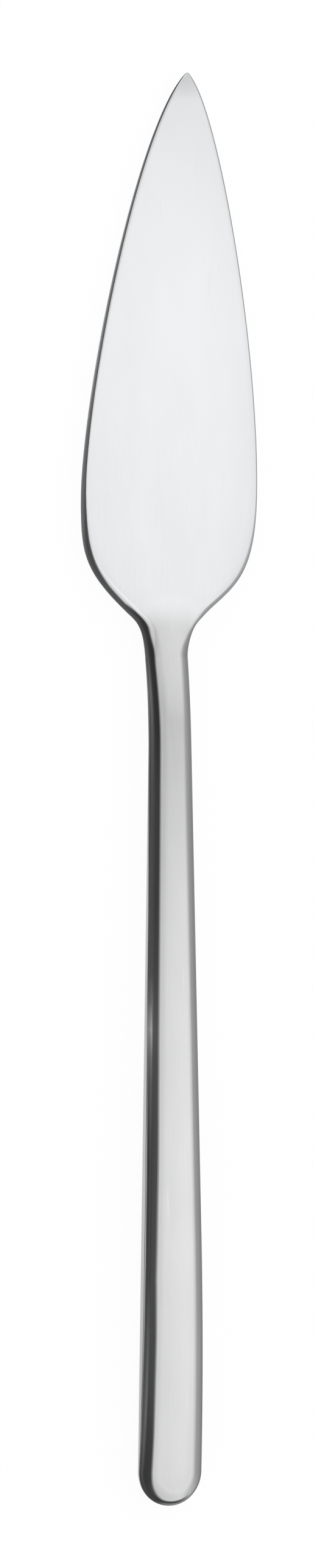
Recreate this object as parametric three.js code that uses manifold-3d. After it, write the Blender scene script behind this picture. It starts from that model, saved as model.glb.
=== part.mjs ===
// Fish knife: a forged leaf blade whose tang is cemented into a hollow handle of two brazed half shells.
// Millimetres. Drawn about its own mid-plane (z = 0) with the handle's mouth at y = 0 and the tip towards
// +Y, then laid on the flat underside of the handle.

import * as THREE from 'three';
import { mergeVertices } from 'three/addons/utils/BufferGeometryUtils.js';
import Module from 'manifold-3d';

// Outline of the blade, seen from above: heights are measured up from the handle's mouth
const BLADE_LENGTH = 86;
const BLADE_HALF_WIDTH = 13.5;
const TIP_OFFSET = 3;
const TIP_CUT = 0.15;
const LEFT_TIP_SPREAD = 7.5;
const LEFT_TIP_DROP = 7;
const LEFT_BELLY = 16.4;
const LEFT_WIDEST = 22;
const LEFT_HEEL_CORNER = 15;
const LEFT_SHOULDER_INSET = 0.3;
const LEFT_SHOULDER = 12.45;
const LEFT_TURN_HALF_WIDTH = 5.85;
const LEFT_TURN = 6.05;
const LEFT_NECK_REACH = 1.9;
const LEFT_NECK_STRAIGHT = 3.5;
const RIGHT_TIP_SPREAD = 4.5;
const RIGHT_TIP_DROP = 3.7;
const RIGHT_BELLY = 22;
const RIGHT_WIDEST = 27;
const RIGHT_HEEL_CORNER = 11.2;
const RIGHT_SHOULDER_INSET = 3.05;
const RIGHT_SHOULDER = 11.3;
const RIGHT_TURN_HALF_WIDTH = 4.1;
const RIGHT_TURN = 5.35;
const RIGHT_NECK_REACH = 2.25;
const RIGHT_NECK_STRAIGHT = 0.4;

// Blade and neck, seen from the side: thicknesses are measured from the mid-plane to one face
const TIP_HALF_THICKNESS = 0.4;
const HEEL_HALF_THICKNESS = 1.7;
const RAMP_TOP = 10;
const RAMP_BOTTOM = 10;
const RAMP_FOOT = 3.5;
const RAMP_BROW = 8;
const TONGUE_RADIUS = 4;
const BLADE_EDGE_RADIUS = 0.3;
const EDGE_BLEND_TOP = 28;
const EDGE_BLEND_BOTTOM = 1;

// Handle. Its left side flares towards the blade and its right side is pinched there; beyond its deepest
// section both faces fall and the end bends a little to the left.
const HANDLE_LENGTH = 124;
const NECK_HALF_WIDTH = 2.74;
const NECK_RUN = 14;
const LEFT_NECK_FLARE = 0.84;
const RIGHT_NECK_PINCH = 0.18;
const END_HALF_WIDTH = 4.7;
const END_LENGTH = 5.05;
const GRIP_HALF_THICKNESS = 2.62;
const DEEPEST = 85;
const DEEPEST_HALF_THICKNESS = 3.29;
const END_FALL = 1.35;
const END_BEND = 0.5;
const NECK_CORNER_RADIUS = 1.8;
const END_CORNER_RADIUS = 2.2;
const WALL = 1;
const INNER_CORNER_RADIUS = 0.5;
const SEAM_THICKNESS = 0.2;

// Tang and the cement round it
const TANG_LENGTH = 46;
const TANG_ROOT = 2;
const TANG_CLEARANCE = 0.3;
const TANG_SIDE_TAPER = 0.6;
const TANG_FACE_TAPER = 0.2;
const TANG_CORNER_RADIUS = 0.3;
const CEMENT_START = 7;
const CEMENT_CLEARANCE = 0.15;

// How finely curves are divided, and the most of a half side that a corner may take
const CORNER_STEPS = 5;
const FACE_STEPS = 6;
const LEAF_STEPS = 22;
const LEAF_BUNCHING = 1.5;
const HEEL_STEPS = 18;
const NECK_STEPS = 9;
const RAMP_STEPS = 10;
const TAIL_STEPS = 8;
const END_STEPS = 9;
const END_SWEEP = THREE.MathUtils.degToRad(88);
const CURVE_SAMPLES = 200;
const CORNER_LIMIT = 0.9;
const WELD = 1e-5;

const { lerp, clamp, smoothstep } = THREE.MathUtils;
const wasm = await Module();
wasm.setup();

const leftSide = {
  sign: -1,
  tipSpread: LEFT_TIP_SPREAD,
  tipDrop: LEFT_TIP_DROP,
  belly: LEFT_BELLY,
  widest: LEFT_WIDEST,
  heelCorner: LEFT_HEEL_CORNER,
  shoulderInset: LEFT_SHOULDER_INSET,
  shoulder: LEFT_SHOULDER,
  turnHalfWidth: LEFT_TURN_HALF_WIDTH,
  turn: LEFT_TURN,
  neckReach: LEFT_NECK_REACH,
  neckStraight: LEFT_NECK_STRAIGHT,
  flare: LEFT_NECK_FLARE,
};

const rightSide = {
  sign: 1,
  tipSpread: RIGHT_TIP_SPREAD,
  tipDrop: RIGHT_TIP_DROP,
  belly: RIGHT_BELLY,
  widest: RIGHT_WIDEST,
  heelCorner: RIGHT_HEEL_CORNER,
  shoulderInset: RIGHT_SHOULDER_INSET,
  shoulder: RIGHT_SHOULDER,
  turnHalfWidth: RIGHT_TURN_HALF_WIDTH,
  turn: RIGHT_TURN,
  neckReach: RIGHT_NECK_REACH,
  neckStraight: RIGHT_NECK_STRAIGHT,
  flare: -RIGHT_NECK_PINCH,
};

// Where the handle's sides end and its rounded end begins
const endCentre = END_LENGTH - HANDLE_LENGTH;

// How far one side of the handle is from its axis
function handleHalf(side, y) {
  const taper = lerp(NECK_HALF_WIDTH, END_HALF_WIDTH, clamp(y / endCentre, 0, 1));
  return taper + side.flare * clamp(1 + y / NECK_RUN, 0, 1) ** 2;
}

// One edge of the blade's outline, from the tip to the widest point, round the heel and into the neck, where
// it leaves in the direction in which that side of the handle goes on
function bladeEdge(side) {
  const point = (x, y) => new THREE.Vector2(side.sign * x, y);
  const apex = new THREE.Vector2(TIP_OFFSET, BLADE_LENGTH + TIP_CUT);
  const leaving = apex.clone().add(point(side.tipSpread, -side.tipDrop));
  const full = point(BLADE_HALF_WIDTH, side.widest + side.belly);
  const broadest = point(BLADE_HALF_WIDTH, side.widest);
  const corner = point(BLADE_HALF_WIDTH, side.heelCorner);
  const shoulder = point(BLADE_HALF_WIDTH - side.shoulderInset, side.shoulder);
  const turn = point(side.turnHalfWidth, side.turn);
  const onward = turn.clone().sub(shoulder).setLength(side.neckReach).add(turn);
  const neck = handleHalf(side, 0);
  const spread = (END_HALF_WIDTH - NECK_HALF_WIDTH) / endCentre + (2 * side.flare) / NECK_RUN;
  const straight = point(neck + spread * side.neckStraight, side.neckStraight);
  return [
    new THREE.CubicBezierCurve(apex, leaving, full, broadest),
    new THREE.CubicBezierCurve(broadest, corner, shoulder, turn),
    new THREE.CubicBezierCurve(turn, onward, straight, point(neck, 0)),
  ];
}

// Where a chain of curves that runs downwards crosses the height y
function crossing(curves, y) {
  const points = curves.flatMap((curve) => curve.getPoints(CURVE_SAMPLES));
  const next = points.findIndex((p, i) => i > 0 && p.y <= y);
  if (next < 0) {
    return points.at(-1).x;
  }
  const [above, below] = [points[next - 1], points[next]];
  const fall = above.y - below.y;
  return lerp(above.x, below.x, fall > 0 ? clamp((above.y - y) / fall, 0, 1) : 0);
}

const leftEdge = bladeEdge(leftSide);
const rightEdge = bladeEdge(rightSide);

// The grip deepens straight from the foot of the ramp to its deepest section
const gripSlope = (DEEPEST_HALF_THICKNESS - GRIP_HALF_THICKNESS) / (DEEPEST - RAMP_BOTTOM);

// The ramp that lifts the thin blade to the deep handle: half thickness across, height up
const ramp = [
  new THREE.CubicBezierCurve(
    new THREE.Vector2(HEEL_HALF_THICKNESS, RAMP_TOP),
    new THREE.Vector2(HEEL_HALF_THICKNESS, RAMP_TOP - RAMP_FOOT),
    new THREE.Vector2(GRIP_HALF_THICKNESS - gripSlope * RAMP_BROW, RAMP_BROW - RAMP_BOTTOM),
    new THREE.Vector2(GRIP_HALF_THICKNESS, -RAMP_BOTTOM),
  ),
];

// How much of the fall of the faces and of the bend at the handle's end there is at y
function tail(y) {
  return clamp((-DEEPEST - y) / (HANDLE_LENGTH - DEEPEST), 0, 1) ** 2;
}

function halfThickness(y) {
  if (y >= RAMP_TOP) {
    const share = (y - RAMP_TOP) / (BLADE_LENGTH - RAMP_TOP);
    return lerp(HEEL_HALF_THICKNESS, TIP_HALF_THICKNESS, share);
  }
  if (y > -RAMP_BOTTOM) {
    return crossing(ramp, y);
  }
  return GRIP_HALF_THICKNESS + gripSlope * (-RAMP_BOTTOM - y) - END_FALL * tail(y);
}

// Section across the knife: rounded corners at both sides, faces at a height that may vary with x
function ring(y, left, right, heightAt, corner) {
  const half = (right - left) / 2;
  const lowest = Math.min(heightAt(left), heightAt(right));
  const radius = Math.min(corner, half * CORNER_LIMIT, lowest * CORNER_LIMIT);
  const angles = spaced(0, Math.PI / 2, CORNER_STEPS);
  const rightTop = angles.map((angle) => [
    right - radius + radius * Math.cos(angle),
    heightAt(right - radius) - radius + radius * Math.sin(angle),
  ]);
  const face = spaced(right - radius, left + radius, FACE_STEPS).slice(1, -1);
  const leftTop = angles.toReversed().map((angle) => [
    left + radius - radius * Math.cos(angle),
    heightAt(left + radius) - radius + radius * Math.sin(angle),
  ]);
  const upper = [...rightTop, ...face.map((x) => [x, heightAt(x)]), ...leftTop];
  const lower = upper.toReversed().map(([x, z]) => [x, -z]);
  return [...upper, ...lower].map(([x, z]) => new THREE.Vector3(x, y, z));
}

// Evenly spaced values from one to another, or closer together at the start when bunching is over 1
function spaced(from, to, steps, bunching = 1) {
  return Array.from({ length: steps + 1 }, (_, i) => lerp(from, to, (i / steps) ** bunching));
}

// Closed skin over rings that run from the tip towards the handle's end, with a flat cap on each end
function loft(rings) {
  const size = rings[0].length;
  const points = rings.flat();
  const faces = [];
  for (let start = 0; start + size < rings.length * size; start += size) {
    for (let i = 0; i < size; i++) {
      const [a, b] = [start + i, start + ((i + 1) % size)];
      faces.push(a, b, b + size, a, b + size, a + size);
    }
  }
  const last = (rings.length - 1) * size;
  for (const [cap, start, step] of [[rings[0], 0, -1], [rings.at(-1), last, 1]]) {
    const middle = cap.reduce((sum, p) => sum.add(p), new THREE.Vector3()).divideScalar(size);
    const centre = points.push(middle) - 1;
    for (let i = 0; i < size; i++) {
      faces.push(centre, start + i, start + ((i + size + step) % size));
    }
  }
  const geometry = new THREE.BufferGeometry().setFromPoints(points);
  return geometry.setIndex(faces);
}

function solid(geometry) {
  const bare = new THREE.BufferGeometry();
  bare.setAttribute('position', geometry.getAttribute('position'));
  bare.setIndex(geometry.getIndex());
  const merged = mergeVertices(bare, WELD);
  return new wasm.Manifold(
    new wasm.Mesh({
      numProp: 3,
      vertProperties: new Float32Array(merged.attributes.position.array),
      triVerts: new Uint32Array(merged.index.array),
    }),
  );
}

function geometryOf(manifold) {
  const mesh = manifold.getMesh();
  const geometry = new THREE.BufferGeometry();
  geometry.setAttribute('position', new THREE.BufferAttribute(mesh.vertProperties, 3));
  geometry.setIndex(new THREE.BufferAttribute(mesh.triVerts, 1));
  geometry.computeVertexNormals();
  return geometry;
}

// Blade and neck. The ramp runs out on the blade as a rounded tongue: away from the axis it starts later.
function bladeRing(y) {
  const heightAt = (x) => {
    const tongueHalfWidth = handleHalf(x < 0 ? leftSide : rightSide, 0) - NECK_CORNER_RADIUS;
    const beyond = Math.max(0, Math.abs(x) - tongueHalfWidth);
    return halfThickness(y + beyond ** 2 / (2 * TONGUE_RADIUS));
  };
  const blade = smoothstep(y, EDGE_BLEND_BOTTOM, EDGE_BLEND_TOP);
  const corner = lerp(NECK_CORNER_RADIUS, BLADE_EDGE_RADIUS, blade);
  return ring(y, crossing(leftEdge, y), crossing(rightEdge, y), heightAt, corner);
}

function bladeSkin() {
  const heights = [
    ...spaced(BLADE_LENGTH, RIGHT_WIDEST, LEAF_STEPS, LEAF_BUNCHING).slice(0, -1),
    ...spaced(RIGHT_WIDEST, LEFT_TURN, HEEL_STEPS).slice(0, -1),
    ...spaced(LEFT_TURN, 0, NECK_STEPS),
  ];
  return loft(heights.map(bladeRing));
}

// The handle's outside, or a skin that lies deeper by the inset. Past the centre of the end the outline is
// half an ellipse, and the faces roll over with the corner radius.
function handleRing(y, inset) {
  const past = Math.max(0, endCentre - y);
  const endLength = END_LENGTH - inset;
  const narrowing = Math.sqrt(1 - (past / endLength) ** 2);
  const [left, right] = [leftSide, rightSide].map((side) => (handleHalf(side, y) - inset) * narrowing);
  const outerCorner = lerp(NECK_CORNER_RADIUS, END_CORNER_RADIUS, clamp(y / endCentre, 0, 1));
  const corner = Math.max(outerCorner - inset, INNER_CORNER_RADIUS);
  const rolled = Math.max(0, corner - (endLength - past));
  const sunk = corner - Math.sqrt(corner ** 2 - rolled ** 2);
  const height = halfThickness(y) - inset - sunk;
  const bend = END_BEND * tail(y);
  return ring(y, -left - bend, right - bend, () => height, corner);
}

function handleSkin(top, inset) {
  const endLength = END_LENGTH - inset;
  const heights = [
    ...spaced(top, -NECK_RUN, RAMP_STEPS),
    ...spaced(-DEEPEST, endCentre, TAIL_STEPS).slice(0, -1),
    ...spaced(0, END_SWEEP, END_STEPS).map((angle) => endCentre - endLength * Math.sin(angle)),
  ];
  return loft(heights.map((y) => handleRing(y, inset)));
}

// The tang leaves a clearance to the handle's walls at the mouth, and tapers from there
function tangRing(y, extra) {
  const share = Math.max(0, -y / TANG_LENGTH);
  const room = WALL + TANG_CLEARANCE - extra;
  const half = handleHalf(rightSide, 0) - room - TANG_SIDE_TAPER * share;
  const height = halfThickness(0) - room - TANG_FACE_TAPER * share;
  return ring(y, -half, half, () => height, TANG_CORNER_RADIUS + extra);
}

function tangSkin(extra) {
  return loft([TANG_ROOT, 0, -TANG_LENGTH - extra].map((y) => tangRing(y, extra)));
}

// A block wider and longer than the knife, between two heights
function layer(bottom, top) {
  const side = 4 * (BLADE_LENGTH + HANDLE_LENGTH);
  const block = new THREE.BoxGeometry(side, side, top - bottom);
  return solid(block.translate(0, 0, (bottom + top) / 2));
}

const blade = solid(bladeSkin()).add(solid(tangSkin(0)));

// The hollow handle, cut into two halves with a layer of braze between them
const hollow = solid(handleSkin(0, 0)).subtract(solid(handleSkin(WALL, WALL)));
const seam = SEAM_THICKNESS / 2;
const beyond = 2 * DEEPEST_HALF_THICKNESS;
const upperShell = hollow.intersect(layer(seam, beyond));
const lowerShell = hollow.intersect(layer(-beyond, -seam));
const seamBraze = hollow.intersect(layer(-seam, seam));

const cement = solid(handleSkin(-CEMENT_START, WALL + CEMENT_CLEARANCE));
const filler = cement.subtract(solid(tangSkin(CEMENT_CLEARANCE)));

const steel = { color: 0xdcdcda, roughness: 0.22, metalness: 1 };
const silverBraze = { color: 0xb9b5a8, roughness: 0.35, metalness: 1 };
const paleCement = { color: 0xc9bfa8, roughness: 0.9, metalness: 0 };

const knife = new THREE.Group();
const pieces = [
  ['blade', blade, steel],
  ['handle_upper_shell', upperShell, steel],
  ['handle_lower_shell', lowerShell, steel],
  ['seam_braze', seamBraze, silverBraze],
  ['handle_filler', filler, paleCement],
];
for (const [name, piece, finish] of pieces) {
  const mesh = new THREE.Mesh(geometryOf(piece), new THREE.MeshStandardMaterial(finish));
  mesh.name = name;
  knife.add(mesh);
}

// Lay the knife on the handle's flat underside, centred over the origin
knife.rotation.x = -Math.atan(gripSlope);
const box = new THREE.Box3().setFromObject(knife, true);
knife.position.y = -(box.min.y + box.max.y) / 2;
knife.position.z = -box.min.z;

const part = new THREE.Group();
part.add(knife);

export default part;
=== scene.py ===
"""A steel fish knife: a forged leaf blade held in a hollow handle brazed from two pressed halves."""

import math

import bmesh
import bpy
import numpy as np
from bpy.props import FloatProperty, FloatVectorProperty, PointerProperty
from mathutils import Matrix, Vector


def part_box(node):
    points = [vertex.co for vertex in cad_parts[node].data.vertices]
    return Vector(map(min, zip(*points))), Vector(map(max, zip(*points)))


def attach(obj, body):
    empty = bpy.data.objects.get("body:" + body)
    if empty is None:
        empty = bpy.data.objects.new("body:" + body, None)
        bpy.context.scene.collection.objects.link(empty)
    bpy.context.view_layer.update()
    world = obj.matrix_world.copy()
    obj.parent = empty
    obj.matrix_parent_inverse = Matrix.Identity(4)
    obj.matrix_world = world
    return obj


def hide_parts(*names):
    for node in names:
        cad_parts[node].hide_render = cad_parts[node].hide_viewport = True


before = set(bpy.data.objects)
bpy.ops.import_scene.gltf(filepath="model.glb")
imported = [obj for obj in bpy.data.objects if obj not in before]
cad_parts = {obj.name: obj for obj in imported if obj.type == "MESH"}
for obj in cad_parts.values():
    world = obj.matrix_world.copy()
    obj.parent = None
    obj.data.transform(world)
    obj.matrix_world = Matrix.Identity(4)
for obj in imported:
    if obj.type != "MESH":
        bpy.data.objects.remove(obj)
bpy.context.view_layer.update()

bl_info = {
    "name": "Fish Knife",
    "version": (1, 0, 0),
    "blender": (4, 5, 0),
    "location": "3D View > Sidebar > Fish Knife",
    "description": "Models a steel fish knife with a leaf blade and a hollow handle on a plain stage",
    "category": "Add Mesh",
}

MM = 0.001
BODY = "root"
LEFT, RIGHT = -1, 1
UP, DOWN = 1, -1

# The tip: how far its sides' curves run past it, and how far its faces fall over its last part
TIP_CUT = 0.15 * MM
TIP_ROUNDING = 4 * MM
TIP_FALL = 0.15 * MM

# How the blade's two sides leave the tip, where each is widest, and how far each stays full
TIP_SPREAD = {LEFT: 7.5 * MM, RIGHT: 4.5 * MM}
TIP_DROP = {LEFT: 7 * MM, RIGHT: 3.7 * MM}
WIDEST = {LEFT: 22 * MM, RIGHT: 27 * MM}
BELLY = {LEFT: 16.4 * MM, RIGHT: 22 * MM}

# How the sides round the heel and sweep in to the neck
HEEL_CORNER = {LEFT: 15 * MM, RIGHT: 11.2 * MM}
HEEL_SHOULDER_INSET = {LEFT: 0.3 * MM, RIGHT: 3.05 * MM}
HEEL_SHOULDER = {LEFT: 12.45 * MM, RIGHT: 11.3 * MM}
HEEL_TURN_HALF_WIDTH = {LEFT: 5.85 * MM, RIGHT: 4.1 * MM}
HEEL_TURN = {LEFT: 6.05 * MM, RIGHT: 5.35 * MM}
NECK_REACH = {LEFT: 1.9 * MM, RIGHT: 2.25 * MM}
NECK_STRAIGHT = {LEFT: 3.5 * MM, RIGHT: 0.4 * MM}

# How the handle's left side flares towards the blade and its right side is pinched there
NECK_FLARE = {LEFT: 0.84 * MM, RIGHT: -0.18 * MM}
NECK_RUN = 14 * MM

# The ramp from the thin blade up to the thick handle, which runs out on the blade as a rounded tongue
RAMP_TOP = 10 * MM
RAMP_BOTTOM = 10 * MM
RAMP_FOOT = 3.5 * MM
RAMP_BROW = 8 * MM
TONGUE_RADIUS = 4 * MM
TONGUE_RISE = 0.3 * MM

# Rounding of the blade's sides: full at the neck, small on the leaf, pinched on the right in the heel's turn
EDGE_BLEND_BOTTOM = 1 * MM
EDGE_BLEND_TOP = {LEFT: 28 * MM, RIGHT: 25 * MM}
EDGE_PINCH = {LEFT: 0.0, RIGHT: 0.55}
EDGE_PINCH_PLACE = 4.7 * MM
EDGE_PINCH_TOP = 7.5 * MM
CORNER_LIMIT = 0.9

# The tang inside the handle
TANG_LENGTH = 46 * MM
TANG_CLEARANCE = 0.3 * MM
TANG_SIDE_TAPER = 0.6 * MM
TANG_FACE_TAPER = 0.2 * MM
TANG_CORNER_RADIUS = 0.3 * MM

# Fineness of the sections; near the handle the blade's columns are gathered towards the middle
CURVE_STEPS = 160
ARC_STEPS = 7
BLADE_COLUMNS = 29
COLUMN_GATHER = 0.8
GATHER_FULL = 12 * MM
GATHER_NONE = 30 * MM
SHELL_ARC_STEPS = 12
SHELL_COLUMNS = 6
SEAM_POINTS = (-1, -0.5, 0, 0.5, 1)

# Steps from section to section; for the blade in mm: a place below the tip or above the mouth, and the step
TIP_STEPS = [(1, 0.1), (5, 0.4)]
LEAF_STEPS = [(60, 1), (20, 2), (13, 0.7), (0, 0.4)]
TANG_STEP = 23 * MM
NECK_STEP = 0.7 * MM
GRIP_STEP = 3 * MM
END_STEPS = 36

# Smooth shading and welding of the meshes
SMOOTH_ANGLE = math.radians(35)
WELD = 0.5e-6

# How the wear spreads over the leaf's rounded edges, and how strong it is on the handle's corners
EDGE_WEAR_POWER = 0.5
CORNER_WEAR = 0.5

# Noise in the finishes: its own roughness and its middle
NOISE_ROUGHNESS = 0.55
NOISE_MIDDLE = 0.5

# The steel's grain, clouds and scratches: waves a metre across, along and through the knife
GRAIN_WAVES = (7000, 90, 7000)
CLOUD_WAVES = (180, 70, 180)
SCRATCH_WAVES = (2600, 45, 2600)
SCRATCH_SLANT = math.radians(9)
SCRATCH_STOPS = [(0.0, 0.0), (0.72, 0.0), (0.78, 1.0), (1.0, 1.0)]

# How much they and the wear show in the steel's colour, and how dull or shining they are
GRAIN_TONE = 0.35
CLOUD_TONE = 0.65
TONE_STOPS = [(0.3, 0.0), (0.7, 1.0)]
DULL_LEAF = 0.93
DULL_NECK = 0.92
SCRATCH_TONE = 0.25
SCRATCH_SHINE = 1.1
WEAR_TONE = 0.35
WEAR_SHINE = 1.08

# How much they and the wear change the steel's roughness and relief
GRAIN_ROUGHNESS = 0.08
CLOUD_ROUGHNESS = 0.05
SCRATCH_ROUGHNESS = 0.06
WEAR_ROUGHNESS = 0.05
SCRATCH_RELIEF = 0.4
STEEL_RELIEF = 0.06
STEEL_DEPTH = 0.004 * MM

# The brazing metal: drawn out along the seam, darker where it is pitted
DRAWN_WAVES = (900, 160, 900)
DRAWN_SHADES = (0.8, 1.2)
DRAWN_ROUGHNESS = (0.26, 0.14)
PIT_WAVES = (3200, 3200, 3200)
PIT_STOPS = [(0.60, 0.0), (0.70, 0.6)]
PIT_SHADE = 0.45
BRAZE_RELIEF = 0.2
BRAZE_DEPTH = 0.01 * MM

# The cement: light and dark patches, and darker sand
PATCH_WAVES = (250, 250, 250)
PATCH_SHADES = (0.85, 1.12)
SAND_WAVES = (2400, 2400, 2400)
SAND_STOPS = [(0.42, 0.0), (0.62, 0.8)]
SAND_SHADE = 0.7
SAND_ROUGHNESS = (0.78, 0.15)
CEMENT_RELIEF = 0.5
CEMENT_DEPTH = 0.05 * MM

# Names of the measures kept on the vertices: two for the steel, and the first again for the cards' glow
WEAR = "edge_wear"
NECK = "neck_polish"
GLOW = WEAR

# The view of the photograph
VIEW_LEAN = math.radians(20)
VIEW_DROP = math.radians(1)
VIEW_DISTANCE = 1.6
VIEW_AIM = Vector((-1.126, 0.59, 0.0)) * MM
VIEW_LONG_SIDE = 229.93 * MM

# Width of the white floor, in metres
FLOOR_WIDTH = 12

# The bent cards beside the knife, in millimetres: place along the knife, reach, height, and gap between the
# card's floor part and the knife; then the brightness of the strip in that gap, and that of the card from its
# near edge over its foot and three steps up to its top
LEFT_CARD = [
    (113, 6, 3.2, 0.2, 0.6, 0.12, 0.08, 0.07, 0.07, 0.07, 0.07),
    (100, 6, 3.2, 0.25, 0.7, 0.12, 0.08, 0.07, 0.07, 0.07, 0.07),
    (85, 6, 2.8, 0.42, 0.7, 0.12, 0.08, 0.07, 0.07, 0.07, 0.07),
    (60, 6, 2.8, 0.45, 0.7, 0.12, 0.08, 0.07, 0.07, 0.07, 0.07),
    (48, 6, 4, 0.32, 0.6, 0.12, 0.08, 0.07, 0.07, 0.07, 0.07),
    (38, 6, 9, 0.3, 0.5, 0.14, 0.08, 0.06, 0.06, 0.06, 0.06),
    (33, 6, 9.5, 0.35, 0.6, 0.1, 0.07, 0.06, 0.06, 0.06, 0.06),
    (28.5, 6, 5.8, 0.35, 0.7, 0.1, 0.08, 0.07, 0.07, 0.07, 0.07),
    (26, 6, 3.8, 0.35, 0.75, 0.1, 0.09, 0.08, 0.08, 0.08, 0.08),
    (22, 6, 3.2, 0.35, 0.8, 0.1, 0.09, 0.08, 0.08, 0.08, 0.08),
    (21.3, 6, 3.6, 0.3, 0.7, 0.12, 0.08, 0.07, 0.06, 0.06, 0.06),
    (20.6, 5.9, 7, 0.3, 0.6, 0.14, 0.06, 0.05, 0.04, 0.04, 0.035),
    (19.4, 5.8, 7.2, 0.3, 0.6, 0.14, 0.06, 0.05, 0.04, 0.04, 0.035),
    (18.3, 5.8, 6.3, 0.3, 0.6, 0.16, 0.06, 0.05, 0.04, 0.04, 0.035),
    (14, 5.6, 6.6, 0.35, 0.5, 0.22, 0.05, 0.05, 0.04, 0.04, 0.035),
    (9, 5.6, 7.2, 0.3, 0.3, 0.15, 0.06, 0.05, 0.04, 0.04, 0.035),
    (0, 5.5, 7.6, 0.5, 0.7, 0.1, 0.09, 0.07, 0.06, 0.06, 0.05),
    (-18, 5.4, 8.2, 0.85, 0.75, 0.09, 0.09, 0.08, 0.065, 0.06, 0.06),
    (-30, 5.4, 8.4, 0.9, 0.72, 0.1, 0.12, 0.1, 0.09, 0.08, 0.08),
    (-33, 5.4, 8.5, 0.9, 0.72, 0.2, 0.35, 0.3, 0.15, 0.11, 0.1),
    (-36, 5.4, 8.6, 0.95, 0.72, 0.3, 0.62, 0.3, 0.12, 0.11, 0.11),
    (-40, 5.4, 8.9, 1.05, 0.72, 0.12, 0.18, 0.15, 0.1, 0.09, 0.09),
    (-54, 5.4, 9.8, 1.35, 0.72, 0.03, 0.1, 0.08, 0.07, 0.08, 0.09),
    (-72, 5.4, 8.6, 1.4, 0.7, 0.06, 0.09, 0.08, 0.07, 0.09, 0.09),
    (-80, 5.5, 10.5, 1.4, 0.68, 0.08, 0.14, 0.14, 0.13, 0.09, 0.08),
    (-90, 5.6, 11.5, 1.3, 0.66, 0.1, 0.14, 0.22, 0.2, 0.07, 0.09),
    (-98, 5.6, 13, 1.45, 0.68, 0.06, 0.16, 0.12, 0.06, 0.05, 0.06),
    (-101.5, 5.6, 11.5, 1.1, 0.6, 0.06, 0.1, 0.06, 0.05, 0.05, 0.06),
    (-103.5, 5.6, 8, 0.6, 0.3, 0.08, 0.08, 0.06, 0.06, 0.06, 0.07),
    (-105.2, 5.8, 5.8, 0.3, 0.15, 0.08, 0.07, 0.06, 0.06, 0.06, 0.1),
    (-106.7, 6, 4.4, 0.3, 0.2, 0.1, 0.08, 0.06, 0.04, 0.06, 0.06),
    (-108.2, 6, 4.3, 0.3, 0.3, 0.28, 0.28, 0.24, 0.03, 0.03, 0.03),
    (-109.6, 6, 4.3, 0.3, 0.3, 0.3, 0.3, 0.3, 0.03, 0.03, 0.03),
    (-111, 6, 4, 0.3, 0.28, 0.28, 0.3, 0.25, 0.08, 0.08, 0.08),
    (-112.3, 7, 5, 0.3, 0.24, 0.26, 0.3, 0.45, 0.55, 0.6, 0.62),
]
RIGHT_CARD = [
    (105, 8, 6, 0.2, 0.33, 0.33, 0.33, 0.33, 0.34, 0.35, 0.4),
    (36, 8, 7, 0.2, 0.33, 0.33, 0.33, 0.33, 0.34, 0.35, 0.4),
    (19, 9, 8.5, 0.2, 0.33, 0.32, 0.31, 0.31, 0.32, 0.34, 0.41),
    (-50, 9, 10, 0.2, 0.3, 0.3, 0.3, 0.3, 0.31, 0.33, 0.42),
    (-100.5, 9, 9.5, 0.2, 0.17, 0.22, 0.25, 0.28, 0.31, 0.35, 0.43),
    (-101.7, 9, 8.5, 0.2, 0.16, 0.2, 0.27, 0.32, 0.36, 0.42, 0.5),
    (-102.6, 9, 8, 0.2, 0.18, 0.22, 0.3, 0.38, 0.46, 0.54, 0.6),
    (-103.5, 9, 7, 0.2, 0.24, 0.26, 0.3, 0.45, 0.55, 0.6, 0.62),
]

# The cards' three steps up, their lift off the floor, and the soft start of the strip before them
CARD_STEPS_UP = [1.8 * MM, 3.2 * MM, 4.6 * MM]
CARD_LIFT = 0.05 * MM
STRIP_BLEND = 0.08 * MM

# The cards' start beyond the tip, their steps along the knife, and how far they turn round the handle's end
CARD_START = 8 * MM
CARD_STEP = 4 * MM
CARD_FINE_TOP = 20 * MM
CARD_FINE_STEP = 1 * MM
CARD_TURN = {LEFT: math.radians(140), RIGHT: math.radians(40)}
CARD_TURN_STEPS = 14

# Above its top a card fades, up to this many times its height, to these brightnesses along the knife
CARD_FADE = 1.5
CARD_FADE_GLOW = {
    LEFT: [(-111, 0.62), (-112.3, 0.8)],
    RIGHT: [(-100.5, 0.48), (-101.7, 0.55), (-102.6, 0.65), (-103.5, 0.8)],
}

# The soft panel overhead, in metres: its brightness across the knife and along it
CANOPY_ACROSS = [
    (-2.6, 0.58),
    (-0.616, 0.62),
    (-0.146, 0.70),
    (0.0, 0.78),
    (0.10, 0.84),
    (0.146, 0.885),
    (0.19, 0.91),
    (0.228, 0.82),
    (0.30, 0.68),
    (0.433, 0.52),
    (0.6, 0.44),
    (0.94, 0.37),
    (1.6, 0.33),
]
CANOPY_ALONG = [
    (-1.7, 0.80),
    (-0.6, 0.79),
    (-0.28, 0.87),
    (-0.134, 0.94),
    (-0.103, 0.98),
    (-0.059, 1.0),
    (-0.033, 0.97),
    (-0.015, 0.94),
    (0.003, 0.915),
    (0.02, 0.81),
    (0.0333, 0.605),
    (0.045, 0.755),
    (0.0645, 0.84),
    (0.087, 0.856),
    (0.1, 0.882),
    (0.1166, 0.94),
    (0.1255, 0.995),
    (0.14, 0.94),
    (0.15, 0.83),
    (0.175, 0.61),
    (0.35, 0.44),
]

# Past the handle's end the panel's shades fan out from the axis
CANOPY_FAN = 3
CANOPY_FAN_START = -0.2

# Over the leaf the panel gets no darker to the left than it is near the middle
CANOPY_HOLD = -0.03
CANOPY_HOLD_START = 0.045
CANOPY_HOLD_RUN = 40


def size(name, description, millimetres):
    """A length that a user may change."""
    return FloatProperty(
        name=name, description=description, default=millimetres * MM, min=0.0, precision=5, unit="LENGTH"
    )


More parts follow.
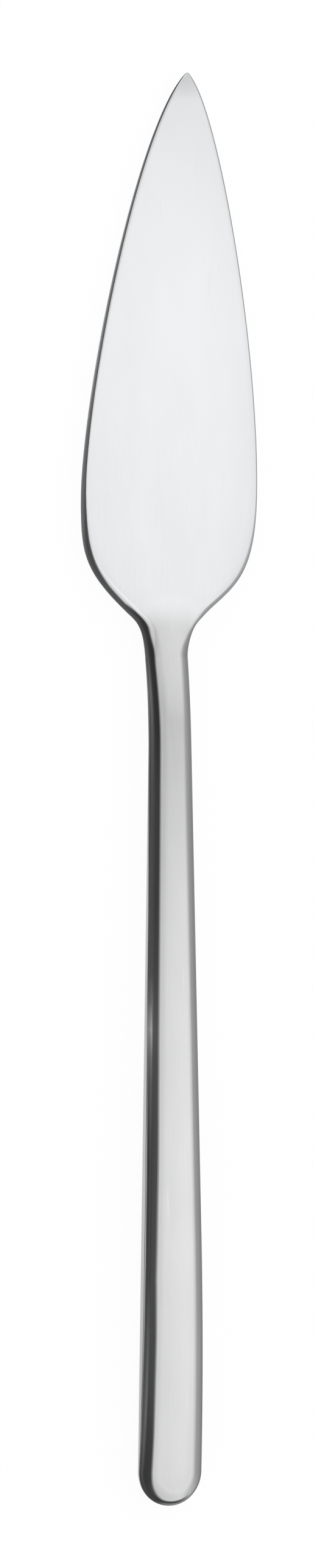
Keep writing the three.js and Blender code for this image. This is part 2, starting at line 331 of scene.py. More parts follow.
def share(name, description, default):
    """A number between nothing and all of something."""
    return FloatProperty(
        name=name, description=description, default=default, min=0.0, max=1.0, subtype="FACTOR"
    )


def brightness(name, description, default):
    """A brightness that a user may change."""
    return FloatProperty(name=name, description=description, default=default, min=0.0)


def colour(name, description, default):
    """A colour that a user may change."""
    return FloatVectorProperty(
        name=name, description=description, default=default, size=3, min=0.0, max=1.0, subtype="COLOR"
    )


class BladeSettings(bpy.types.PropertyGroup):
    """Sizes and finish of the blade."""

    length: size("Length", "From the handle's mouth to the tip", 86)
    half_width: size("Half width", "From the axis to the widest point of a side", 13.49)
    tip_offset: size("Tip offset", "How far the tip sits to the right of the axis", 3)
    tip_half_thickness: size("Tip half thickness", "Half the thickness at the tip", 0.4)
    heel_half_thickness: size("Heel half thickness", "Half the thickness at the heel", 1.7)
    edge_radius: size("Edge radius", "Rounding along the sides of the leaf", 0.3)
    crown_radius: size("Crown radius", "How gently the two faces are crowned from side to side", 1500)
    steel: colour("Steel", "Colour of the satin leaf", (0.871, 0.879, 0.892))
    roughness: share("Roughness", "How satin the leaf is", 0.22)


class HandleSettings(bpy.types.PropertyGroup):
    """Sizes and finish of the handle."""

    length: size("Length", "From the mouth to the end", 123.99)
    neck_half_width: size("Neck half width", "Half the width at the mouth, without its flare", 2.74)
    end_half_width: size("End half width", "Half the width where the rounded end begins", 4.7)
    end_length: size("End length", "Length of the rounded end", 5.05)
    end_fall: size("End fall", "How far both faces fall towards the end", 1.4)
    end_bend: size("End bend", "How far the end bends to the left", 0.5)
    grip_half_thickness: size("Grip half thickness", "Half the thickness just past the neck", 2.62)
    deepest: size("Deepest", "From the mouth to the thickest section", 85)
    deepest_half_thickness: size("Deepest half thickness", "Half the thickness of that section", 3.29)
    neck_corner: size("Neck corner", "Rounding of the long corners at the mouth", 1.8)
    end_corner: size("End corner", "Rounding of the long corners at the end", 2.2)
    crown_radius: size("Crown radius", "How the upper face is crowned from side to side", 32)
    wall: size("Wall", "Thickness of the pressed shells", 1)
    seam: size("Seam", "Height of the brazed seam", 0.2)
    seam_sink: size("Seam sink", "How far the seam lies below the shells' sides", 0.04)
    steel: colour("Steel", "Colour of the polished handle", (0.648, 0.6525, 0.6495))
    roughness: share("Roughness", "How soft the handle's reflections are", 0.12)
    braze: colour("Braze", "Colour of the seam's silvery brazing metal", (0.50, 0.48, 0.44))
    cement: colour("Cement", "Colour of the filling inside the handle", (0.62, 0.57, 0.48))


class StageSettings(bpy.types.PropertyGroup):
    """Light and background."""

    backdrop: colour("Backdrop", "Colour of the light all round", (1.0, 1.0, 1.0))
    shadow: share("Shadow", "How much of the floor's brightness the knife's shadow can take", 0.06)
    canopy_height: size("Canopy height", "Height of the soft panel above the knife", 400)
    canopy: brightness("Canopy", "Brightness of the soft panel at its brightest", 1.38)
    cards: brightness("Cards", "Brightness of the two cards beside the knife", 1.08)


def blend(a, b, share_of_b):
    """The value between a and b."""
    return a + (b - a) * share_of_b


def smooth_step(low, high, value):
    """0 below low and 1 above high, with a soft start and stop between."""
    t = min(max((value - low) / (high - low), 0.0), 1.0)
    return t * t * (3 - 2 * t)


def bezier(a, b, c, d):
    """Points of a cubic curve from a to d."""
    t = np.linspace(0.0, 1.0, CURVE_STEPS)[:, None]
    a, b, c, d = (np.array(p, float) for p in (a, b, c, d))
    return (1 - t) ** 3 * a + 3 * (1 - t) ** 2 * t * b + 3 * (1 - t) * t**2 * c + t**3 * d


def spaced(start, stop, step):
    """Evenly spaced values from start up to, but without, stop."""
    count = max(1, round(abs(stop - start) / step))
    return [start + (stop - start) * i / count for i in range(count)]


class KnifeForm:
    """The knife's curves in their own frame: the mouth at y = 0, the tip at +Y, the middle plane at z = 0."""

    def __init__(self, scene):
        self.blade = scene.fish_knife_blade
        self.handle = handle = scene.fish_knife_handle
        self.end_centre = handle.end_length - handle.length
        rise = handle.deepest_half_thickness - handle.grip_half_thickness
        self.slope = rise / (handle.deepest - RAMP_BOTTOM)
        heel = self.blade.heel_half_thickness
        brow = handle.grip_half_thickness - self.slope * RAMP_BROW
        self.ramp = bezier(
            (heel, RAMP_TOP),
            (heel, RAMP_TOP - RAMP_FOOT),
            (brow, RAMP_BROW - RAMP_BOTTOM),
            (handle.grip_half_thickness, -RAMP_BOTTOM),
        )[::-1]
        self.sides = {side: self.side_curve(side) for side in (LEFT, RIGHT)}
        self.lay = self.laying()

    def laying(self):
        """Lays the knife down on the flat underside of its handle, where the CAD frame has it."""
        lean = math.atan(self.slope)
        grip = self.handle.grip_half_thickness
        up = grip * math.cos(lean) - RAMP_BOTTOM * math.sin(lean)
        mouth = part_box("handle_upper_shell")[1].y - self.half_thickness(0) * math.sin(lean)
        return Matrix.Translation((0, mouth, up)) @ Matrix.Rotation(-lean, 4, "X")

    def side_curve(self, side):
        """One side of the blade from the mouth to the tip, as points of x and y."""
        blade, handle = self.blade, self.handle
        tip = Vector((blade.tip_offset, blade.length + TIP_CUT))
        full = Vector((side * blade.half_width, WIDEST[side]))
        shoulder = Vector((side * (blade.half_width - HEEL_SHOULDER_INSET[side]), HEEL_SHOULDER[side]))
        turn = Vector((side * HEEL_TURN_HALF_WIDTH[side], HEEL_TURN[side]))
        neck, straight = self.handle_half(side, 0), NECK_STRAIGHT[side]
        taper = (handle.end_half_width - handle.neck_half_width) / self.end_centre
        spread = taper + 2 * NECK_FLARE[side] / NECK_RUN
        leaf = bezier(
            tip,
            tip + Vector((side * TIP_SPREAD[side], -TIP_DROP[side])),
            full + Vector((0, BELLY[side])),
            full,
        )
        heel = bezier(full, (full.x, HEEL_CORNER[side]), shoulder, turn)
        sweep = turn + (turn - shoulder).normalized() * NECK_REACH[side]
        root = bezier(turn, sweep, (side * (neck + spread * straight), straight), (side * neck, 0))
        return np.concatenate([leaf, heel[1:], root[1:]])[::-1]

    def side_at(self, side, y):
        """How far out a side of the blade is at y."""
        points = self.sides[side]
        return float(np.interp(y, points[:, 1], points[:, 0]))

    def half_thickness(self, y):
        """Half the knife's thickness along the axis."""
        blade, handle = self.blade, self.handle
        if y >= RAMP_TOP:
            along = (y - RAMP_TOP) / (blade.length - RAMP_TOP)
            return blend(blade.heel_half_thickness, blade.tip_half_thickness, along)
        if y <= -RAMP_BOTTOM:
            deeper = self.slope * (-RAMP_BOTTOM - y)
            return handle.grip_half_thickness + deeper - handle.end_fall * self.tail(y)
        return float(np.interp(y, self.ramp[:, 1], self.ramp[:, 0]))

    def blade_height(self, x, y):
        """Half the thickness at a point of the blade, with the ramp's tongue and the fall at the tip."""
        beside = max(0.0, abs(x) - (self.neck_half(x) - self.handle.neck_corner))
        fall = max(0.0, 1 - (self.blade.length - y) / TIP_ROUNDING) ** 2 * TIP_FALL
        return self.half_thickness(y + beside**2 / (2 * TONGUE_RADIUS)) - fall

    def handle_crown(self, x):
        """How far the handle's upper face falls away beside the axis."""
        return x**2 / (2 * self.handle.crown_radius)

    def blade_crown(self, x, y, face):
        """How far a face of the blade falls away beside the axis; at the mouth it has the handle's crown."""
        leaf = smooth_step(0, RAMP_TOP, y)
        fall = leaf * x**2 / (2 * self.blade.crown_radius)
        if face == UP:
            fall += (1 - leaf) * self.handle_crown(min(abs(x), self.neck_half(x)))
        return fall

    def blade_section(self, y, face):
        """One face of the blade's section at y, from right to left, as x, z, edge wear and neck polish."""
        left, right = self.side_at(LEFT, y), self.side_at(RIGHT, y)
        lowest = min(self.blade_height(left, y), self.blade_height(right, y))
        limit = CORNER_LIMIT * min((right - left) / 2, lowest)
        leaf, radius = {}, {}
        for side in (LEFT, RIGHT):
            leaf[side] = smooth_step(EDGE_BLEND_BOTTOM, EDGE_BLEND_TOP[side], y)
            pinch = smooth_step(0, EDGE_PINCH_PLACE, y) - smooth_step(EDGE_PINCH_PLACE, EDGE_PINCH_TOP, y)
            corner = min(blend(self.handle.neck_corner, self.blade.edge_radius, leaf[side]), limit)
            radius[side] = corner * (1 - EDGE_PINCH[side] * pinch)
        flat_left, flat_right = left + radius[LEFT], right - radius[RIGHT]
        middle, flat = (flat_left + flat_right) / 2, (flat_right - flat_left) / 2
        gather = 1 + COLUMN_GATHER * (1 - smooth_step(GATHER_FULL, GATHER_NONE, y))

        def point(x, sunk, worn):
            inner = min(max(x, flat_left), flat_right)
            height = self.blade_height(inner, y)
            rise = height - self.half_thickness(RAMP_TOP) if y < RAMP_TOP else 0.0
            z = height - sunk - self.blade_crown(inner, y, face)
            return x, face * z, worn, smooth_step(0, TONGUE_RISE, rise)

        def rounding(side, start):
            arc = []
            for i in range(ARC_STEPS + 1):
                turn = math.pi / 2 * i / ARC_STEPS
                x = start + side * radius[side] * math.cos(turn)
                worn = leaf[side] * math.cos(turn) ** EDGE_WEAR_POWER
                arc.append(point(x, radius[side] * (1 - math.sin(turn)), worn))
            return arc

        outline = rounding(RIGHT, flat_right)
        for i in range(1, BLADE_COLUMNS + 1):
            across = 1 - 2 * i / (BLADE_COLUMNS + 1)
            outline.append(point(middle + flat * math.copysign(abs(across) ** gather, across), 0.0, 0.0))
        return outline + rounding(LEFT, flat_left)[::-1]

    def blade_stations(self):
        """Places along the blade from the tip to the mouth, closest at the tip and in the heel's turn."""
        start = self.blade.length
        stops = [(start - down * MM, step) for down, step in TIP_STEPS]
        stops += [(up * MM, step) for up, step in LEAF_STEPS]
        places = []
        for stop, step in stops:
            places += spaced(start, stop, step * MM)
            start = stop
        return places + [start]

    def tang_section(self, y, face):
        """One face of the tang's section at y, with as many points as the blade's."""
        along = -y / TANG_LENGTH
        room = self.handle.wall + TANG_CLEARANCE
        half = self.handle_half(RIGHT, 0) - room - TANG_SIDE_TAPER * along
        height = self.half_thickness(0) - room - TANG_FACE_TAPER * along
        radius, flat = TANG_CORNER_RADIUS, half - TANG_CORNER_RADIUS
        outline = []
        for i in range(ARC_STEPS + 1):
            turn = math.pi / 2 * i / ARC_STEPS
            outline.append((flat + radius * math.cos(turn), height - radius * (1 - math.sin(turn))))
        for i in range(1, BLADE_COLUMNS + 1):
            outline.append((flat * (1 - 2 * i / (BLADE_COLUMNS + 1)), height))
        outline += [(-x, z) for x, z in outline[: ARC_STEPS + 1][::-1]]
        return [(x, face * z, 0.0, 1.0) for x, z in outline]

    def ring(self, section, y):
        """A closed ring of vertices round the blade or the tang."""
        upper, lower = section(y, UP), section(y, DOWN)
        return [(self.lay @ Vector((x, y, z)), worn, neck) for x, z, worn, neck in upper + lower[::-1]]

    def tail(self, y):
        """How much of the fall and the bend of the handle's end there is at y."""
        handle = self.handle
        return min(max((-handle.deepest - y) / (handle.length - handle.deepest), 0.0), 1.0) ** 2

    def bend(self, y):
        """How far the handle has bent sideways at y."""
        return -self.handle.end_bend * self.tail(y)

    def widening(self, y):
        """How much of its widening the handle has had at y, from 0 at the mouth to 1 where its end begins."""
        return min(max(y / self.end_centre, 0.0), 1.0)

    def handle_half(self, side, y):
        """How far one side of the handle is from its axis at y."""
        taper = blend(self.handle.neck_half_width, self.handle.end_half_width, self.widening(y))
        return taper + NECK_FLARE[side] * min(max(1 + y / NECK_RUN, 0.0), 1.0) ** 2

    def neck_half(self, x):
        """How far the neck's side next to x is from the axis at the mouth."""
        return self.handle_half(LEFT if x < 0 else RIGHT, 0)

    def end_rim(self, turn):
        """A point of the half-elliptic end, from the right side at 0 to the left side at a half turn."""
        handle = self.handle
        across = handle.end_half_width * math.cos(turn)
        return Vector((across, self.end_centre - handle.end_length * math.sin(turn)))

    def handle_stations(self):
        """Stations round the handle's plan, from the mouth along the right side, round the end and back."""
        handle = self.handle
        ys = spaced(0, -NECK_RUN, NECK_STEP) + spaced(-NECK_RUN, self.end_centre, GRIP_STEP)
        ys.append(self.end_centre)
        sides = {LEFT: [], RIGHT: []}
        for side, stations in sides.items():
            for y in ys:
                half = self.handle_half(side, y)
                corner = blend(handle.neck_corner, handle.end_corner, self.widening(y))
                stations.append((Vector((side * half, y)), Vector((-side, 0)), half, corner))
        end = []
        for i in range(1, END_STEPS):
            place = self.end_rim(math.pi * i / END_STEPS)
            inward = Vector((0, self.end_centre)) - place
            end.append((place, inward.normalized(), inward.length, handle.end_corner))
        return sides[RIGHT] + end + sides[LEFT][::-1]

    def shell_line(self, station, face):
        """Half a section of a shell at one station, from the seam over the corner to the face's middle."""
        place, inward, reach, corner = station
        seam = self.handle.seam / 2

        def point(inset, sunk, worn):
            at = place + inward * inset
            face_at = place + inward * max(inset, corner)
            beside = reach - max(inset, corner)
            height = self.half_thickness(face_at.y) - sunk
            if face == UP:
                height -= self.handle_crown(beside)
            return self.lay @ Vector((at.x + self.bend(at.y), at.y, face * max(height, seam))), worn, 1.0

        line = [point(0.0, self.half_thickness(place.y), 0.0)]
        for i in range(SHELL_ARC_STEPS + 1):
            turn = math.pi / 2 * i / SHELL_ARC_STEPS
            worn = CORNER_WEAR * math.sin(2 * turn) ** 2
            line.append(point(corner * (1 - math.cos(turn)), corner * (1 - math.sin(turn)), worn))
        for i in range(1, SHELL_COLUMNS + 1):
            line.append(point(blend(corner, reach, i / SHELL_COLUMNS), 0.0, 0.0))
        return line

    def seam_ring(self, station):
        """A closed ring round the brazed seam at one station, a little sunk between the shells."""
        place, inward, _, _ = station
        handle = self.handle
        outline = [(handle.seam_sink * (1 - across**2), across) for across in SEAM_POINTS]
        ring = []
        for inset, across in outline + [(handle.wall, 1), (handle.wall, -1)]:
            at = place + inward * inset
            x = at.x + self.bend(at.y)
            ring.append((self.lay @ Vector((x, at.y, across * handle.seam / 2)), 0.0, 1.0))
        return ring


def loft(name, rings, closed):
    """Extrudes a section from ring to ring and sets the points of each new ring in their places."""
    bpy.ops.object.select_all(action="DESELECT")
    bpy.ops.mesh.primitive_circle_add(vertices=len(rings[0]), fill_type="NOTHING", enter_editmode=True)
    piece = bpy.context.object
    piece.name = piece.data.name = name
    shape = bmesh.from_edit_mesh(piece.data)
    for measure in (WEAR, NECK):
        shape.verts.layers.float.new(measure)
    if not closed:
        bpy.ops.mesh.select_all(action="DESELECT")
        shape.verts.ensure_lookup_table()
        shape.edges.get((shape.verts[-1], shape.verts[0])).select_set(True)
        bpy.ops.mesh.delete(type="EDGE")
    line = list(range(len(rings[0])))
    set_ring(piece, line, rings[0])
    bpy.ops.mesh.select_all(action="SELECT")
    for ring in rings[1:]:
        bpy.ops.mesh.extrude_region_move()
        shape = bmesh.from_edit_mesh(piece.data)
        shape.verts.ensure_lookup_table()
        shape.verts.index_update()
        olds = [shape.verts[i] for i in line]
        line = [next(e.other_vert(v).index for e in v.link_edges if e.other_vert(v).select) for v in olds]
        set_ring(piece, line, ring)
    if closed:
        bpy.ops.mesh.edge_face_add()
        bpy.ops.mesh.select_all(action="DESELECT")
        bpy.ops.mesh.select_non_manifold()
        bpy.ops.mesh.edge_face_add()
    bpy.ops.mesh.select_all(action="SELECT")
    bpy.ops.mesh.remove_doubles(threshold=WELD)
    bpy.ops.mesh.normals_make_consistent(inside=False)
    bpy.ops.object.mode_set(mode="OBJECT")
    return piece


def set_ring(piece, line, ring):
    """Puts a ring's vertices in their places and keeps their measures."""
    shape = bmesh.from_edit_mesh(piece.data)
    shape.verts.ensure_lookup_table()
    wear, neck = (shape.verts.layers.float[measure] for measure in (WEAR, NECK))
    for index, (place, worn, polished) in zip(line, ring):
        vertex = shape.verts[index]
        vertex.co, vertex[wear], vertex[neck] = place, worn, polished
    bmesh.update_edit_mesh(piece.data)


def thicken(piece, thickness):
    """Gives a sheet its wall, inwards."""
    wall = piece.modifiers.new("wall", "SOLIDIFY")
    wall.thickness, wall.offset, wall.use_even_offset = thickness, -1.0, True
    bpy.ops.object.modifier_apply(modifier=wall.name)


def finish_piece(piece, node, material):
    """Smooths a piece, gives it its finish and puts it in its CAD node's place."""
    bpy.ops.object.shade_smooth_by_angle(angle=SMOOTH_ANGLE)
    piece.data.materials.clear()
    piece.data.materials.append(material)
    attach(piece, BODY)
    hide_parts(node)


class Wire:
    """An output of a shader node; arithmetic on it adds Math nodes."""

    def __init__(self, finish, output):
        self.finish, self.output = finish, output

    def maths(self, operation, first, second):
        """A Math node on two values, of which one is this output."""
        return self.finish.add("ShaderNodeMath", {"operation": operation}, {0: first, 1: second})

    def __add__(self, other):
        return self.maths("ADD", self, other)

    def __radd__(self, other):
        return self.maths("ADD", other, self)

    def __sub__(self, other):
        return self.maths("SUBTRACT", self, other)

    def __rsub__(self, other):
        return self.maths("SUBTRACT", other, self)

    def __mul__(self, other):
        return self.maths("MULTIPLY", self, other)

    def __rmul__(self, other):
        return self.maths("MULTIPLY", other, self)

    def __truediv__(self, other):
        return self.maths("DIVIDE", self, other)

    def __rtruediv__(self, other):
        return self.maths("DIVIDE", other, self)

    def at_least(self, floor):
        """This output where it is above the floor, and the floor elsewhere."""
        return self.maths("MAXIMUM", self, floor)


class Finish:
    """A node tree that is filled node by node."""

    def __init__(self, owner):
        owner.use_nodes = True
        self.owner, self.tree = owner, owner.node_tree
        self.tree.nodes.clear()

    def add(self, kind, settings=None, sockets=None, output=0):
        """Adds a node: its settings first, then the values or links of its sockets."""
        node = self.tree.nodes.new(kind)
        for name, value in (settings or {}).items():
            if name == "stops":
                self.set_stops(node.color_ramp, value)
            else:
                setattr(node, name, value)
        for name, value in (sockets or {}).items():
            if isinstance(value, Wire):
                self.tree.links.new(value.output, node.inputs[name])
            else:
                node.inputs[name].default_value = value
        return Wire(self, node.outputs[output]) if node.outputs else node

    @staticmethod
    def set_stops(ramp, stops):
        """Fills a ramp with greys at their places."""
        while len(ramp.elements) < len(stops):
            ramp.elements.new(1.0)
        for element, (place, grey) in zip(ramp.elements, stops):
            element.position, element.color = place, (grey, grey, grey, 1.0)

    def place(self):
        """Object coordinates, in metres."""
        return self.add("ShaderNodeTexCoord", output="Object")

    def measure(self, name):
        """A measure kept on the vertices."""
        return self.add("ShaderNodeAttribute", {"attribute_name": name}, output="Fac")

    def noise(self, place, waves, turn=0.0, detail=3.0):
        """Noise with this many waves a metre along each axis, slanted by a turn."""
        laid = self.add("ShaderNodeMapping", {}, {"Vector": place, "Rotation": (0, 0, turn), "Scale": waves})
        sockets = {"Vector": laid, "Scale": 1.0, "Detail": detail, "Roughness": NOISE_ROUGHNESS}
        return self.add("ShaderNodeTexNoise", {}, sockets)

    def ramp(self, factor, stops):
        """A grey that follows a value through these stops."""
        return self.add("ShaderNodeValToRGB", {"stops": stops}, {"Fac": factor})

    def mix(self, factor, first, second):
        """The colour between two colours."""
        settings = {"data_type": "RGBA", "clamp_factor": True}
        return self.add("ShaderNodeMix", settings, {"Factor": factor, 6: first, 7: second}, output=2)

    def relief(self, strength, depth, height):
        """A bump this deep that follows a value."""
        return self.add("ShaderNodeBump", {}, {"Strength": strength, "Distance": depth, "Height": height})

    def skin(self, base, roughness, bump, metallic):
        """Ends the tree in a skin with this colour, roughness and bump."""
        sockets = {"Base Color": base, "Metallic": metallic, "Roughness": roughness, "Normal": bump}
        return self.surface(self.add("ShaderNodeBsdfPrincipled", {}, sockets))

    def surface(self, shader):
        """Ends the tree in a surface."""
        of_world = isinstance(self.owner, bpy.types.World)
        kind = "ShaderNodeOutputWorld" if of_world else "ShaderNodeOutputMaterial"
        self.add(kind, {}, {"Surface": shader})
        return self.owner


def shade(colour_value, factor=1.0):
    """A colour made lighter or darker, with full alpha."""
    return (*(min(c * factor, 1.0) for c in colour_value), 1.0)


def steel_finish(name, blade, handle):
    """Steel with a fine lengthwise grain, faint clouds and scratches, and bright worn edges."""
    finish = Finish(bpy.data.materials.new(name))
    place = finish.place()
    grain = finish.noise(place, GRAIN_WAVES)
    cloud = finish.noise(place, CLOUD_WAVES, detail=4.0)
    hairs = finish.noise(place, SCRATCH_WAVES, turn=SCRATCH_SLANT, detail=1.0)
    scratch = finish.ramp(hairs, SCRATCH_STOPS)
    wear = finish.measure(WEAR)
    polished = finish.measure(NECK)
    steel = finish.mix(polished, shade(blade.steel), shade(handle.steel))
    dull = finish.mix(polished, shade(blade.steel, DULL_LEAF), shade(handle.steel, DULL_NECK))
    tone = GRAIN_TONE * grain + CLOUD_TONE * cloud
    body = finish.mix(finish.ramp(tone, TONE_STOPS), dull, steel)
    scratched = finish.mix(SCRATCH_TONE * scratch, body, shade(blade.steel, SCRATCH_SHINE))
    worn = finish.mix(WEAR_TONE * wear, scratched, shade(blade.steel, WEAR_SHINE))
    even = blade.roughness + (handle.roughness - blade.roughness) * polished
    mottled = even + GRAIN_ROUGHNESS * (grain - NOISE_MIDDLE) + CLOUD_ROUGHNESS * (cloud - NOISE_MIDDLE)
    roughness = mottled + SCRATCH_ROUGHNESS * scratch + WEAR_ROUGHNESS * wear
    bump = finish.relief(STEEL_RELIEF, STEEL_DEPTH, grain + SCRATCH_RELIEF * scratch)
    return finish.skin(worn, roughness, bump, metallic=1.0)


def braze_finish(name, base):
    """Silvery brazing metal, drawn out along the seam and a little pitted."""
    finish = Finish(bpy.data.materials.new(name))
    place = finish.place()
    drawn = finish.noise(place, DRAWN_WAVES, detail=4.0)
    pits = finish.noise(place, PIT_WAVES, detail=2.0)
    dark, light = (shade(base, factor) for factor in DRAWN_SHADES)
    body = finish.mix(drawn, dark, light)
    pitted = finish.mix(finish.ramp(pits, PIT_STOPS), body, shade(base, PIT_SHADE))
    bump = finish.relief(BRAZE_RELIEF, BRAZE_DEPTH, drawn - pits)
    smoothest, rougher = DRAWN_ROUGHNESS
    return finish.skin(pitted, smoothest + rougher * drawn, bump, metallic=1.0)


def cement_finish(name, base):
    """Pale handle cement with patches and sand."""
    finish = Finish(bpy.data.materials.new(name))
    place = finish.place()
    sand = finish.noise(place, SAND_WAVES, detail=5.0)
    patches = finish.noise(place, PATCH_WAVES)
    dark, light = (shade(base, factor) for factor in PATCH_SHADES)
    body = finish.mix(patches, dark, light)
    sandy = finish.mix(finish.ramp(sand, SAND_STOPS), body, shade(base, SAND_SHADE))
    bump = finish.relief(CEMENT_RELIEF, CEMENT_DEPTH, sand)
    smoothest, rougher = SAND_ROUGHNESS
    return finish.skin(sandy, smoothest + rougher * sand, bump, metallic=0.0)


class FISHKNIFE_OT_blade(bpy.types.Operator):
    """Models the forged blade: leaf, heel, neck and tang"""

    bl_idname = "fish_knife.blade"
    bl_label = "Blade"

    def execute(self, context):
        form = KnifeForm(context.scene)
        tang = spaced(0, -TANG_LENGTH, TANG_STEP) + [-TANG_LENGTH]
        rings = [form.ring(form.blade_section, y) for y in form.blade_stations()]
        rings += [form.ring(form.tang_section, y) for y in tang]
        piece = loft("leaf_blade", rings, closed=True)
        steel = steel_finish("satin_blade_steel", form.blade, form.handle)
        finish_piece(piece, "blade", steel)
        return {"FINISHED"}


class FISHKNIFE_OT_shells(bpy.types.Operator):
    """Models the two pressed halves of the hollow handle"""

    bl_idname = "fish_knife.shells"
    bl_label = "Handle Shells"

    def execute(self, context):
        form = KnifeForm(context.scene)
        steel = steel_finish("polished_handle_steel", form.blade, form.handle)
        stations = form.handle_stations()
        for name, node, face in (
            ("upper_shell", "handle_upper_shell", UP),
            ("lower_shell", "handle_lower_shell", DOWN),
        ):
            lines = [form.shell_line(station, face) for station in stations]
            piece = loft(name, lines, closed=False)
            thicken(piece, form.handle.wall)
            finish_piece(piece, node, steel)
        return {"FINISHED"}


class FISHKNIFE_OT_seam(bpy.types.Operator):
    """Models the brazed seam between the two halves of the handle"""

    bl_idname = "fish_knife.seam"
    bl_label = "Brazed Seam"

    def execute(self, context):
        form = KnifeForm(context.scene)
        rings = [form.seam_ring(station) for station in form.handle_stations()]
        piece = loft("seam_line", rings, closed=True)
        braze = braze_finish("silver_braze", form.handle.braze)
        finish_piece(piece, "seam_braze", braze)
        return {"FINISHED"}


class FISHKNIFE_OT_filler(bpy.types.Operator):
    """Gives the cement inside the handle its finish"""

    bl_idname = "fish_knife.filler"
    bl_label = "Handle Cement"

    def execute(self, context):
        cement = cement_finish("handle_cement", context.scene.fish_knife_handle.cement)
        for material_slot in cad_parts["handle_filler"].material_slots:
            material_slot.material = cement
        return {"FINISHED"}


def floor_finish(shadow):
    """White for the camera and for reflections, apart from the share that the knife's shadow takes."""
    finish = Finish(bpy.data.materials.new("floor_white"))
    paint = finish.add("ShaderNodeBsdfDiffuse", {}, {"Color": (shadow, shadow, shadow, 1.0)})
    rays = ("Camera", "Glossy", "Transmission")
    camera, glossy, transmission = (
        finish.add("ShaderNodeLightPath", output=f"Is {ray} Ray") for ray in rays
    )
    lift = (1 - shadow) * (camera + glossy + transmission)
    glow = finish.add("ShaderNodeEmission", {}, {"Color": lift, "Strength": 1.0})
    return finish.surface(finish.add("ShaderNodeAddShader", {}, {0: paint, 1: glow}))


def glow_finish(glow, strength):
    """A glow for a card that only shows in reflections."""
    finish = glow.finish
    material = finish.surface(finish.add("ShaderNodeEmission", {}, {"Color": glow, "Strength": strength}))
    material.cycles.emission_sampling = "NONE"
    return material


def card_finish(name, strength):
    """A glow that follows the brightness kept on a card's vertices."""
    return glow_finish(Finish(bpy.data.materials.new(name)).measure(GLOW), strength)


def canopy_finish(name, strength):
    """A soft panel whose glow follows one ramp across the knife and one along it."""
    finish = Finish(bpy.data.materials.new(name))
    place = finish.place()
    across, along = (finish.add("ShaderNodeSeparateXYZ", {}, {"Vector": place}, output=axis) for axis in "XY")
    before_hold = (CANOPY_HOLD_START - along).at_least(0.0)
    held = across.at_least(CANOPY_HOLD - CANOPY_HOLD_RUN * before_hold)
    past_fan = (CANOPY_FAN_START - along).at_least(0.0)
    fanned = held / (1 + CANOPY_FAN * past_fan)
    ramps = []
    for value, stops in ((fanned, CANOPY_ACROSS), (along, CANOPY_ALONG)):
        low, span = stops[0][0], stops[-1][0] - stops[0][0]
        placed = [((at - low) / span, grey) for at, grey in stops]
        ramps.append(finish.ramp((value - low) * (1 / span), placed))
    return glow_finish(ramps[0] * ramps[1], strength)


def card_stations(form, side):
    """Stations along one side of the knife and round its end: how far along, a place and the way outwards."""
    tip, beside = form.blade.length, Vector((side, 0))
    stations = [(tip, Vector((form.blade.tip_offset, tip + CARD_START)), beside)]
    ys = spaced(tip, CARD_FINE_TOP, CARD_STEP) + spaced(CARD_FINE_TOP, -NECK_RUN, CARD_FINE_STEP)
    ys += spaced(-NECK_RUN, form.end_centre, CARD_STEP)
    for y in ys:
        x = form.side_at(side, y) if y > 0 else side * form.handle_half(side, y)
        stations.append((y, Vector((x, y)), beside))
    for i in range(CARD_TURN_STEPS + 1):
        turn = CARD_TURN[side] * i / CARD_TURN_STEPS
        along = form.end_centre - form.handle.end_length * turn
        rim = form.end_rim(turn)
        out = Vector((side * rim.x, rim.y - form.end_centre)).normalized()
        stations.append((along, Vector((side * rim.x, rim.y)), out))
    return stations


def card_rows(form, side, table):
    """Rows of a card bent along one side of the knife, from its top down and over the floor to the knife."""
    mouth = form.lay.translation.y
    columns, fade = np.array(table).T, np.array(CARD_FADE_GLOW[side]).T
    rows = []
    for along, place, out in card_stations(form, side):
        down = -(along + mouth) / MM
        values = [float(np.interp(down, -columns[0], column)) for column in columns[1:]]
        reach, height, gap = (value * MM for value in values[:3])
        strip, near, foot, *steps, top = values[3:]
        faded = float(np.interp(down, -fade[0], fade[1]))
        profile = [(reach, height * CARD_FADE, faded), (reach, height, top)]
        profile += [(reach, min(up, height), glow) for up, glow in zip(CARD_STEPS_UP[::-1], steps[::-1])]
        profile += [(reach, CARD_LIFT, foot), (gap + STRIP_BLEND, CARD_LIFT, near)]
        profile += [(gap, CARD_LIFT, strip), (0.0, CARD_LIFT, strip)]
        place = place + Vector((form.bend(place.y), mouth))
        rows.append([(Vector((*(place + out * far), up)), glow, 0.0) for far, up, glow in profile])
    return rows


def stage_card(name, rows, material):
    """A card of the stage that only shows in reflections."""
    card = loft(name, rows, closed=False)
    card.data.materials.append(material)
    card.visible_camera = card.visible_diffuse = card.visible_shadow = card.visible_transmission = False


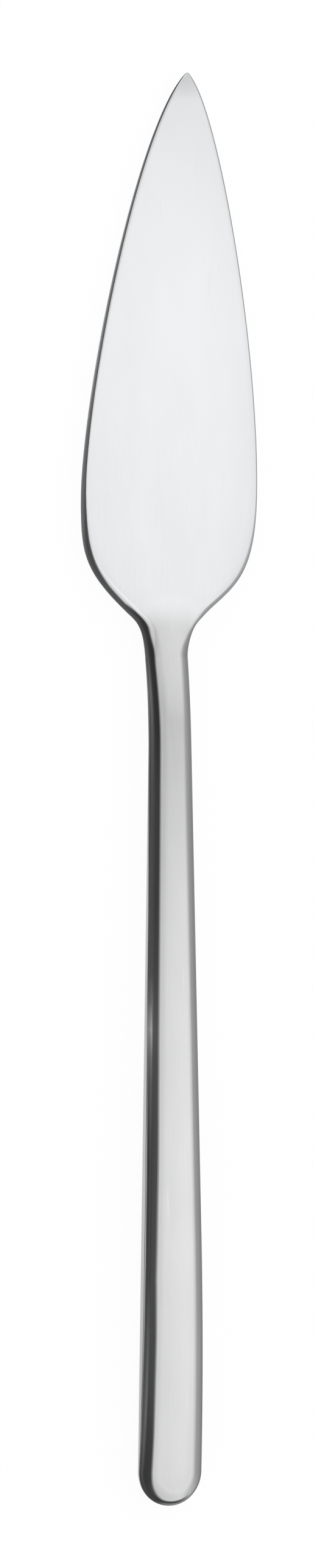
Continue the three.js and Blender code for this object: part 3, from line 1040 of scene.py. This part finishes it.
class FISHKNIFE_OT_stage(bpy.types.Operator):
    """Sets up the floor, the soft light, the cards beside the handle and the camera"""

    bl_idname = "fish_knife.stage"
    bl_label = "Stage"

    def execute(self, context):
        settings = context.scene.fish_knife_stage
        self.add_floor(settings)
        self.add_world(context.scene, settings)
        self.add_cards(KnifeForm(context.scene), settings)
        self.add_camera(context.scene)
        context.scene.view_settings.view_transform = "Standard"
        return {"FINISHED"}

    def add_floor(self, settings):
        """A wide white floor."""
        bpy.ops.object.select_all(action="DESELECT")
        bpy.ops.mesh.primitive_plane_add(size=FLOOR_WIDTH)
        floor = bpy.context.object
        floor.name = "stage_floor"
        floor.data.materials.append(floor_finish(settings.shadow))

    def add_world(self, scene, settings):
        """Even light all round."""
        scene.world = scene.world or bpy.data.worlds.new("soft_world")
        light = Finish(scene.world)
        sockets = {"Color": shade(settings.backdrop), "Strength": 1.0}
        light.surface(light.add("ShaderNodeBackground", {}, sockets))

    def add_cards(self, form, settings):
        """The two bent cards and the soft panel overhead, which only show in reflections."""
        glow = card_finish("card_glow", settings.cards)
        stage_card("stage_card_left", card_rows(form, LEFT, LEFT_CARD), glow)
        stage_card("stage_card_right", card_rows(form, RIGHT, RIGHT_CARD), glow)
        height = settings.canopy_height
        (x0, x1), (y0, y1) = ((stops[0][0], stops[-1][0]) for stops in (CANOPY_ACROSS, CANOPY_ALONG))
        rows = [[(Vector((x, y, height)), 0.0, 0.0) for x in (x0, x1)] for y in (y1, y0)]
        stage_card("stage_canopy", rows, canopy_finish("canopy_glow", settings.canopy))

    def add_camera(self, scene):
        """A camera that sees the knife as the photograph does."""
        lens = bpy.data.cameras.new("photo_camera")
        camera = bpy.data.objects.new("photo_camera", lens)
        scene.collection.objects.link(camera)
        back = Vector(
            (
                -math.sin(VIEW_LEAN) * math.cos(VIEW_DROP),
                -math.sin(VIEW_DROP),
                math.cos(VIEW_LEAN) * math.cos(VIEW_DROP),
            )
        )
        right = Vector((math.cos(VIEW_LEAN), 0, math.sin(VIEW_LEAN)))
        turn = Matrix((right, back.cross(right), back)).transposed()
        camera.matrix_world = Matrix.Translation(VIEW_AIM + back * VIEW_DISTANCE) @ turn.to_4x4()
        lens.lens = lens.sensor_width * VIEW_DISTANCE / VIEW_LONG_SIDE
        scene.camera = camera


class FISHKNIFE_PT_panel(bpy.types.Panel):
    """Lists the knife's pieces, the stage and their settings"""

    bl_idname = "FISHKNIFE_PT_panel"
    bl_label = "Fish Knife"
    bl_space_type = "VIEW_3D"
    bl_region_type = "UI"
    bl_category = "Fish Knife"

    def draw(self, context):
        scene = context.scene
        for group, operators in (
            (scene.fish_knife_blade, (FISHKNIFE_OT_blade,)),
            (scene.fish_knife_handle, (FISHKNIFE_OT_shells, FISHKNIFE_OT_seam, FISHKNIFE_OT_filler)),
            (scene.fish_knife_stage, (FISHKNIFE_OT_stage,)),
        ):
            box = self.layout.box()
            for name in group.__annotations__:
                box.prop(group, name)
            for operator in operators:
                box.operator(operator.bl_idname)


CLASSES = (
    BladeSettings,
    HandleSettings,
    StageSettings,
    FISHKNIFE_OT_blade,
    FISHKNIFE_OT_shells,
    FISHKNIFE_OT_seam,
    FISHKNIFE_OT_filler,
    FISHKNIFE_OT_stage,
    FISHKNIFE_PT_panel,
)


def register():
    for cls in CLASSES:
        bpy.utils.register_class(cls)
    bpy.types.Scene.fish_knife_blade = PointerProperty(type=BladeSettings)
    bpy.types.Scene.fish_knife_handle = PointerProperty(type=HandleSettings)
    bpy.types.Scene.fish_knife_stage = PointerProperty(type=StageSettings)


def unregister():
    del bpy.types.Scene.fish_knife_stage
    del bpy.types.Scene.fish_knife_handle
    del bpy.types.Scene.fish_knife_blade
    for cls in reversed(CLASSES):
        bpy.utils.unregister_class(cls)


def main():
    register()
    bpy.ops.fish_knife.blade()
    bpy.ops.fish_knife.shells()
    bpy.ops.fish_knife.seam()
    bpy.ops.fish_knife.filler()
    bpy.ops.fish_knife.stage()


if __name__ == "__main__":
    main()
